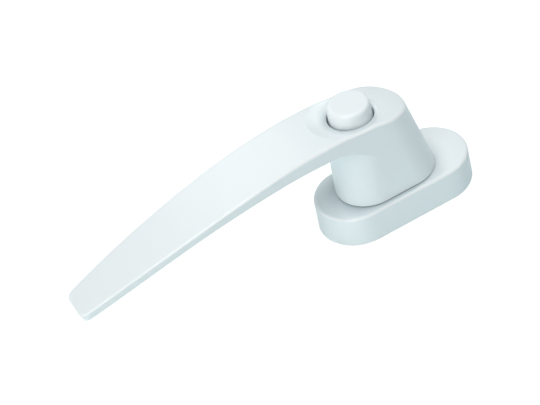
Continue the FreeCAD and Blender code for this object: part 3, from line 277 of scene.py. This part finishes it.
film = add_noise(powder_skin, powder_place, scale=28.0, detail=3.0)
film_colour = mix_colours(powder_skin, film, powder["Clean Colour"], powder["Shade Colour"])
grain = add_noise(powder_skin, powder_place, scale=2600.0, detail=1.0)
specks = add_node(
    powder_skin, "ShaderNodeMapRange", Value=grain, From_Min=0.66, From_Max=0.74, To_Max=0.05)
speck_colour = (0.55, 0.60, 0.62, 1)
speckled_colour = mix_colours(powder_skin, specks.outputs["Result"], film_colour, speck_colour)
# Painted highlight: faces tilted between wall and top get a lighter colour that stands in for a bright rim
# highlight, and a lower roughness.
off_the_walls = smooth_step(powder_skin, upward, start=0.30, end=0.55)
off_the_flats = smooth_step(powder_skin, upward, start=0.90, end=0.75)
painted_highlight_band = add_math(powder_skin, "MULTIPLY", off_the_walls, off_the_flats)
colour_with_painted_highlight = mix_colours(powder_skin, painted_highlight_band, speckled_colour, powder["Rubbed Colour"])
# Painted shade: an ambient occlusion mask darkens upward faces close to other surfaces with a grey-blue
# colour that stands in for contact shade.
openness = add_node(powder_skin, "ShaderNodeAmbientOcclusion", Distance=powder["Dust Reach"])
openness.samples = 12
sheltered = add_math(powder_skin, "SUBTRACT", 1.0, openness.outputs["AO"])
lying_flat = smooth_step(powder_skin, upward, start=0.60, end=0.85)
painted_shade = add_math(powder_skin, "MULTIPLY", sheltered, lying_flat)
handling = add_noise(powder_skin, powder_place, scale=90.0, detail=4.0)
handled_gloss = spread_gloss(powder_skin, handling, powder["Gloss Low"], powder["Gloss High"])
highlight_band_gloss = add_node(
    powder_skin, "ShaderNodeMix", Factor=painted_highlight_band, A=handled_gloss, B=powder["Rubbed Gloss"])
peel = add_noise(powder_skin, powder_place, powder["Peel Scale"], detail=2.0, Roughness=0.4)
end_skin(
    powder_skin, mix_colours(powder_skin, painted_shade, colour_with_painted_highlight, powder["Dust Colour"]),
    highlight_band_gloss.outputs["Result"], add_bump(powder_skin, peel, powder["Peel Depth"]))

dress("rosette_cover", make_finish(
    "white_cover_coat", powder_skin,
    Clean_Colour=(0.87, 0.925, 0.94, 1), Shade_Colour=(0.845, 0.905, 0.925, 1),
    Peel_Scale=800.0, Peel_Depth=0.000008, Gloss_Low=0.30, Gloss_High=0.38))


# Base plate: a pressure die casting that is screwed to the sash and carries every bearing.
# It stays bare under the cover: tumbled grey metal with flow marks and a fine sandy skin.

cast_skin, cast = start_skin(
    "cast_skin",
    Metal_Colour=(0.60, 0.61, 0.63, 1), Flow_Colour=(0.50, 0.51, 0.53, 1),
    Sand_Scale=1500.0, Sand_Depth=0.00003, Gloss_Low=0.35, Gloss_High=0.55)
cast_place = cast_skin.nodes.new("ShaderNodeTexCoord").outputs["Object"]
flow_place = add_node(cast_skin, "ShaderNodeMapping", Vector=cast_place, Scale=(60.0, 260.0, 260.0))
flow = add_noise(cast_skin, flow_place.outputs["Vector"], scale=1.0, detail=5.0, Distortion=0.6)
sand = add_noise(cast_skin, cast_place, cast["Sand Scale"], detail=3.0)
end_skin(
    cast_skin, mix_colours(cast_skin, flow, cast["Metal Colour"], cast["Flow Colour"]),
    spread_gloss(cast_skin, flow, cast["Gloss Low"], cast["Gloss High"]),
    add_bump(cast_skin, sand, cast["Sand Depth"]))

dress("base_plate", make_finish("tumbled_die_casting", cast_skin, metallic=0.85))


# Strike plate: 2 mm steel strip, blanked, pierced and bright zinc plated.
# The rolling grain runs along it, and the plating gives it a faint blue and yellow bloom.

rolled_grain, rolled = start_skin(
    "rolled_grain",
    Metal_Colour=(0.66, 0.68, 0.70, 1), Bloom_Colour=(0.70, 0.69, 0.62, 1),
    Grain_Width=2200.0, Grain_Depth=0.000006, Gloss_Low=0.22, Gloss_High=0.38)
rolled_place = rolled_grain.nodes.new("ShaderNodeTexCoord").outputs["Object"]
along_grain = add_node(rolled_grain, "ShaderNodeMapping", Vector=rolled_place, Scale=(0.03, 1.0, 1.0))
scratches = add_noise(rolled_grain, along_grain.outputs["Vector"], rolled["Grain Width"], detail=3.0)
bloom = add_noise(rolled_grain, rolled_place, scale=70.0, detail=2.0)
end_skin(
    rolled_grain, mix_colours(rolled_grain, bloom, rolled["Metal Colour"], rolled["Bloom Colour"]),
    spread_gloss(rolled_grain, scratches, rolled["Gloss Low"], rolled["Gloss High"]),
    add_bump(rolled_grain, scratches, rolled["Grain Depth"]))

dress("strike_plate", make_finish("bright_zinc_strip", rolled_grain, metallic=0.95))


# Slide ring and bearing bush: turned from natural slide-bearing plastic, a waxy pale grey.
# The ring sits in the cover's hole and keeps the hub half a millimetre off the rosette.

plastic_skin, plastic = start_skin(
    "moulded_plastic_skin",
    Plain_Colour=(0.55, 0.57, 0.58, 1), Cloud_Colour=(0.51, 0.53, 0.54, 1),
    Skin_Scale=900.0, Skin_Depth=0.000006, Gloss_Low=0.45, Gloss_High=0.60)
plastic_place = plastic_skin.nodes.new("ShaderNodeTexCoord").outputs["Object"]
cloud = add_noise(plastic_skin, plastic_place, scale=120.0, detail=3.0)
spark_marks = add_noise(plastic_skin, plastic_place, plastic["Skin Scale"], detail=2.0)
end_skin(
    plastic_skin, mix_colours(plastic_skin, cloud, plastic["Plain Colour"], plastic["Cloud Colour"]),
    spread_gloss(plastic_skin, cloud, plastic["Gloss Low"], plastic["Gloss High"]),
    add_bump(plastic_skin, spark_marks, plastic["Skin Depth"]))

slide_plastic = make_finish("natural_slide_plastic", plastic_skin)
dress("slide_ring", slide_plastic)
dress("bearing_bush", slide_plastic)


# Detent springs, thrust washer, circlip, pin clip and latch wire: hard spring steel.
# They are blanked or bent from strip and wire, hardened and blued, and left oiled.

blued_steel = make_finish(
    "blued_spring_steel", rolled_grain, metallic=0.9,
    Metal_Colour=(0.24, 0.26, 0.31, 1), Bloom_Colour=(0.34, 0.31, 0.29, 1),
    Grain_Width=2600.0, Grain_Depth=0.000004, Gloss_Low=0.26, Gloss_High=0.42)
for oiled in ("detent_springs", "thrust_washer", "circlip", "pin_clip", "latch_wire"):
    dress(oiled, blued_steel)


# Spindle carrier and detent cam: free-cutting steel, turned, milled square and broached.
# The tool leaves fine rings round the spindle axis on every face and wall.

turned_marks, turned = start_skin(
    "turned_marks",
    Metal_Colour=(0.58, 0.59, 0.61, 1), Oil_Colour=(0.50, 0.50, 0.50, 1),
    Ring_Scale=5000.0, Ring_Depth=0.000008, Axis_X=0.0, Gloss_Low=0.20, Gloss_High=0.34)
turned_place = turned_marks.nodes.new("ShaderNodeTexCoord").outputs["Object"]
split_place = add_node(turned_marks, "ShaderNodeSeparateXYZ", Vector=turned_place).outputs
from_axis = add_node(
    turned_marks, "ShaderNodeCombineXYZ",
    X=add_math(turned_marks, "SUBTRACT", split_place["X"], turned["Axis X"]), Y=split_place["Y"])
axis_distance = add_node(turned_marks, "ShaderNodeVectorMath", Vector=from_axis.outputs["Vector"])
axis_distance.operation = "LENGTH"
ring_place = add_node(
    turned_marks, "ShaderNodeCombineXYZ", X=axis_distance.outputs["Value"], Z=split_place["Z"])
rings = add_noise(turned_marks, ring_place.outputs["Vector"], turned["Ring Scale"], detail=2.0)
oil = add_noise(turned_marks, turned_place, scale=140.0, detail=3.0)
end_skin(
    turned_marks, mix_colours(turned_marks, oil, turned["Metal Colour"], turned["Oil Colour"]),
    spread_gloss(turned_marks, rings, turned["Gloss Low"], turned["Gloss High"]),
    add_bump(turned_marks, rings, turned["Ring Depth"]))

carrier_steel = make_finish("turned_carrier_steel", turned_marks, metallic=0.95)
dress("spindle_carrier", carrier_steel)
dress("detent_cam", carrier_steel)


# Strike plate screws and carrier screws: small countersunk machine screws with a hexagon socket.
# They are cold headed, thread rolled and bright zinc plated, four in the plate and two in the hub.

def screw_mesh(name, shaft, head, length, pitch):
    """One screw with its flat head at z = 0 and its rolled thread below."""
    around = 24
    rings_per_turn = 8
    thread_depth = 0.28 * pitch
    cone = head - shaft
    socket = 0.45 * head
    socket_depth = 0.9 * cone
    socket_bottom = 0.95 * cone
    head_edge = 0.12 * cone
    point_length = 0.0003
    point_radius = 0.7 * shaft
    neck_radius = 0.98 * shaft
    shape = bmesh.new()

    def ring(height, radius_at):
        points = []
        for step in range(around):
            angle = 2 * math.pi * step / around
            radius = radius_at(angle)
            points.append(shape.verts.new((radius * math.cos(angle), radius * math.sin(angle), height)))
        return points

    def hexagon(angle):
        half_side = math.pi / 6
        return socket * math.cos(half_side) / math.cos((angle + half_side) % (2 * half_side) - half_side)

    def thread(height):
        def radius_at(angle):
            turn = (height / pitch + angle / (2 * math.pi)) % 1.0
            return shaft - thread_depth * abs(2 * turn - 1)
        return radius_at

    loops = [ring(-socket_depth, hexagon), ring(0.0, hexagon), ring(0.0, lambda angle: head)]
    loops.append(ring(-head_edge, lambda angle: head))
    loops.append(ring(-cone, lambda angle: neck_radius))
    steps = max(int((length - cone) / pitch * rings_per_turn), rings_per_turn)
    for step in range(1, steps + 1):
        height = -cone - (length - cone - point_length) * step / steps
        loops.append(ring(height, thread(-(length - cone) * step / steps)))
    loops.append(ring(-length, lambda angle: point_radius))
    for upper, lower in zip(loops, loops[1:]):
        for step in range(around):
            following = (step + 1) % around
            shape.faces.new((upper[step], lower[step], lower[following], upper[following]))
    for end, height in ((loops[0], -socket_bottom), (loops[-1], -length)):
        middle = shape.verts.new((0, 0, height))
        for step in range(around):
            shape.faces.new((end[step], end[(step + 1) % around], middle))
    bmesh.ops.recalc_face_normals(shape, faces=shape.faces)
    mesh = bpy.data.meshes.new(name)
    shape.to_mesh(mesh)
    shape.free()
    return mesh


def start_shape(name, **inputs):
    """An empty geometry tree with the given kinds of inputs and one shape put out."""
    tree = bpy.data.node_groups.new(name, "GeometryNodeTree")
    for label, kind in inputs.items():
        tree.interface.new_socket(
            name=label.replace("_", " "), in_out="INPUT", socket_type="NodeSocket" + kind)
    tree.interface.new_socket(name="Shape", in_out="OUTPUT", socket_type="NodeSocketGeometry")
    return tree, tree.nodes.new("NodeGroupInput").outputs


def end_shape(tree, geometry, finish):
    """Makes real mesh of a tree's geometry, gives it its finish and puts it out."""
    real = add_node(tree, "GeometryNodeRealizeInstances", Geometry=geometry)
    dressed = add_node(tree, "GeometryNodeSetMaterial", Geometry=real.outputs["Geometry"], Material=finish)
    add_node(tree, "NodeGroupOutput", Shape=dressed.outputs["Geometry"])


def grow(name, tree, **settings):
    """Runs a geometry tree with the given inputs and keeps its result as a plain mesh."""
    seed = bpy.data.objects.new(name + "_seed", bpy.data.meshes.new(name + "_seed"))
    bpy.context.scene.collection.objects.link(seed)
    modifier = seed.modifiers.new("grow", "NODES")
    modifier.node_group = tree
    sockets = (item for item in tree.interface.items_tree if item.in_out == "INPUT")
    identifiers = {socket.name: socket.identifier for socket in sockets}
    for label, value in settings.items():
        modifier[identifiers[label.replace("_", " ")]] = value
    seed.update_tag()
    bpy.context.view_layer.update()
    evaluated = seed.evaluated_get(bpy.context.evaluated_depsgraph_get())
    mesh = bpy.data.meshes.new_from_object(evaluated)
    mesh.name = name
    bpy.data.objects.remove(seed)
    grown = bpy.data.objects.new(name, mesh)
    bpy.context.scene.collection.objects.link(grown)
    return grown


screw_pattern, pattern = start_shape(
    "screw_pattern", Along_Spacing="Float", Across_Spacing="Float", Columns="Int", Rows="Int",
    Centre="Vector", Flip="Float", Screw="Object", Finish="Material")
grid = add_node(
    screw_pattern, "GeometryNodeMeshGrid",
    Size_X=pattern["Along Spacing"], Size_Y=pattern["Across Spacing"],
    Vertices_X=pattern["Columns"], Vertices_Y=pattern["Rows"])
shifted_grid = add_node(
    screw_pattern, "GeometryNodeSetPosition", Geometry=grid.outputs["Mesh"], Offset=pattern["Centre"])
one_screw = add_node(screw_pattern, "GeometryNodeObjectInfo", Object=pattern["Screw"])
screw_turn = add_node(screw_pattern, "ShaderNodeCombineXYZ", X=pattern["Flip"])
placed_screws = add_node(
    screw_pattern, "GeometryNodeInstanceOnPoints", Points=shifted_grid.outputs["Geometry"],
    Instance=one_screw.outputs["Geometry"], Rotation=screw_turn.outputs["Vector"])
end_shape(screw_pattern, placed_screws.outputs["Instances"], pattern["Finish"])

screw_zinc = make_finish(
    "bright_zinc_screw", turned_marks, metallic=0.95,
    Metal_Colour=(0.62, 0.64, 0.67, 1), Oil_Colour=(0.66, 0.65, 0.58, 1),
    Ring_Scale=3500.0, Ring_Depth=0.000003, Gloss_Low=0.22, Gloss_High=0.36)
thread_pitch = 0.00045
plate_screw = bpy.data.objects.new(
    "plate_screw",
    screw_mesh("plate_screw", shaft=0.0012, head=0.0022, length=0.0065, pitch=thread_pitch))
carrier_screw = bpy.data.objects.new(
    "carrier_screw",
    screw_mesh("carrier_screw", shaft=0.00125, head=0.0026, length=0.0080, pitch=thread_pitch))
plate_screws = grow(
    "threaded_plate_screws", screw_pattern,
    Along_Spacing=0.0264, Across_Spacing=0.0212, Columns=2, Rows=2, Centre=(0.0, 0.0, 0.0110),
    Flip=0.0, Screw=plate_screw, Finish=screw_zinc)
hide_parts("strike_plate_screws")
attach(plate_screws, "rosette")
carrier_screws = grow(
    "threaded_carrier_screws", screw_pattern,
    Along_Spacing=0.0, Across_Spacing=0.0086, Columns=1, Rows=2, Centre=(0.0103, 0.0, 0.0140),
    Flip=math.pi, Screw=carrier_screw, Finish=screw_zinc)
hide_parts("carrier_screws")
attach(carrier_screws, "handle")
bpy.data.objects.remove(plate_screw)
bpy.data.objects.remove(carrier_screw)


# Handle casting: hub, neck and lever in one aluminium pressure die casting, ground and blasted.
# It carries the same satin white powder coat as the cover, a little smoother on its long back.

# The handle's painted shade reaches less far than the cover's.
dress("handle_casting", make_finish(
    "white_handle_coat", powder_skin,
    Clean_Colour=(0.87, 0.925, 0.94, 1), Shade_Colour=(0.85, 0.91, 0.93, 1),
    Peel_Scale=650.0, Peel_Depth=0.000008, Gloss_Low=0.28, Gloss_High=0.36, Dust_Reach=0.0045))


# Lock barrel and pin guide bush: turned from zinc alloy bar and nickel plated.
# They are pressed into the hub, and their rings run round the button's axis.

lock_axis = -0.0117
barrel_nickel = make_finish(
    "nickel_plated_barrel", turned_marks, metallic=0.95,
    Metal_Colour=(0.64, 0.64, 0.62, 1), Oil_Colour=(0.58, 0.57, 0.54, 1),
    Ring_Scale=4200.0, Axis_X=lock_axis, Gloss_Low=0.18, Gloss_High=0.30)
dress("lock_barrel", barrel_nickel)
dress("pin_guide_bush", barrel_nickel)


# Push button: an injection-moulded white plastic cap on the end of the locking pin.
# It is a shade whiter and glossier than the coating round it, with no mark on its face.

dress("button_cap", make_finish(
    "white_button_plastic", plastic_skin,
    Plain_Colour=(0.915, 0.965, 0.985, 1), Cloud_Colour=(0.910, 0.962, 0.982, 1),
    Skin_Scale=1400.0, Skin_Depth=0.000003, Gloss_Low=0.27, Gloss_High=0.29))


# Locking pin: silver steel, hardened and centreless ground, with the latch track milled in.
# It is finer than the turned pieces round it, and darker under its film of oil.

dress("locking_pin", make_finish(
    "ground_pin_steel", turned_marks, metallic=0.95,
    Metal_Colour=(0.50, 0.51, 0.53, 1), Oil_Colour=(0.44, 0.44, 0.45, 1),
    Ring_Scale=7000.0, Ring_Depth=0.000003, Axis_X=lock_axis, Gloss_Low=0.14, Gloss_High=0.24))


# Button spring: an open coil of hard drawn wire between the barrel's floor and the cap.
# Its end coils close up on what they press against. The real coil shortens as the button goes in; here it
# is one fixed mesh at its free length.

coil_spring, coil = start_shape(
    "coil_spring", Mean_Radius="Float", Wire_Radius="Float", Turns="Float", Foot="Float",
    Free_Length="Float", End_Closing="Float", Points="Int", Axis_X="Float", Finish="Material")
straight_wire = coil_spring.nodes.new("GeometryNodeCurvePrimitiveLine").outputs["Curve"]
fine_wire = add_node(coil_spring, "GeometryNodeResampleCurve", Curve=straight_wire, Count=coil["Points"])
along = coil_spring.nodes.new("GeometryNodeSplineParameter").outputs["Factor"]
turns_so_far = add_math(coil_spring, "MULTIPLY", along, coil["Turns"])
angle = add_math(coil_spring, "MULTIPLY", turns_so_far, 2 * math.pi)
steady_climb = add_math(
    coil_spring, "MULTIPLY", along, add_math(coil_spring, "SUBTRACT", 1.0, coil["End Closing"]))
closing_climb = add_math(
    coil_spring, "MULTIPLY", smooth_step(coil_spring, along, start=0.0, end=1.0), coil["End Closing"])
climb = add_math(coil_spring, "ADD", steady_climb, closing_climb)
height = add_math(
    coil_spring, "ADD", coil["Foot"], add_math(coil_spring, "MULTIPLY", climb, coil["Free Length"]))
along_lever = add_math(
    coil_spring, "MULTIPLY", add_math(coil_spring, "COSINE", angle), coil["Mean Radius"])
across_lever = add_math(
    coil_spring, "MULTIPLY", add_math(coil_spring, "SINE", angle), coil["Mean Radius"])
wire_spot = add_node(
    coil_spring, "ShaderNodeCombineXYZ",
    X=add_math(coil_spring, "ADD", along_lever, coil["Axis X"]), Y=across_lever, Z=height)
wound_wire = add_node(
    coil_spring, "GeometryNodeSetPosition", Geometry=fine_wire.outputs["Curve"],
    Position=wire_spot.outputs["Vector"])
wire_section = add_node(
    coil_spring, "GeometryNodeCurvePrimitiveCircle", Resolution=12, Radius=coil["Wire Radius"])
thick_wire = add_node(
    coil_spring, "GeometryNodeCurveToMesh", Curve=wound_wire.outputs["Geometry"],
    Profile_Curve=wire_section.outputs["Curve"], Fill_Caps=True)
end_shape(coil_spring, thick_wire.outputs["Mesh"], coil["Finish"])

spring_foot = 0.03145
spring_free_length = 0.02170
spring_wire_radius = 0.0004
button_spring = grow(
    "wound_button_spring", coil_spring,
    Mean_Radius=0.0042, Wire_Radius=spring_wire_radius, Turns=6.5, Foot=spring_foot,
    Free_Length=spring_free_length, End_Closing=0.45, Points=260, Axis_X=lock_axis, Finish=blued_steel)
for face in button_spring.data.polygons:
    face.use_smooth = True
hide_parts("button_spring")
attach(button_spring, "handle")
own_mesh(button_spring)
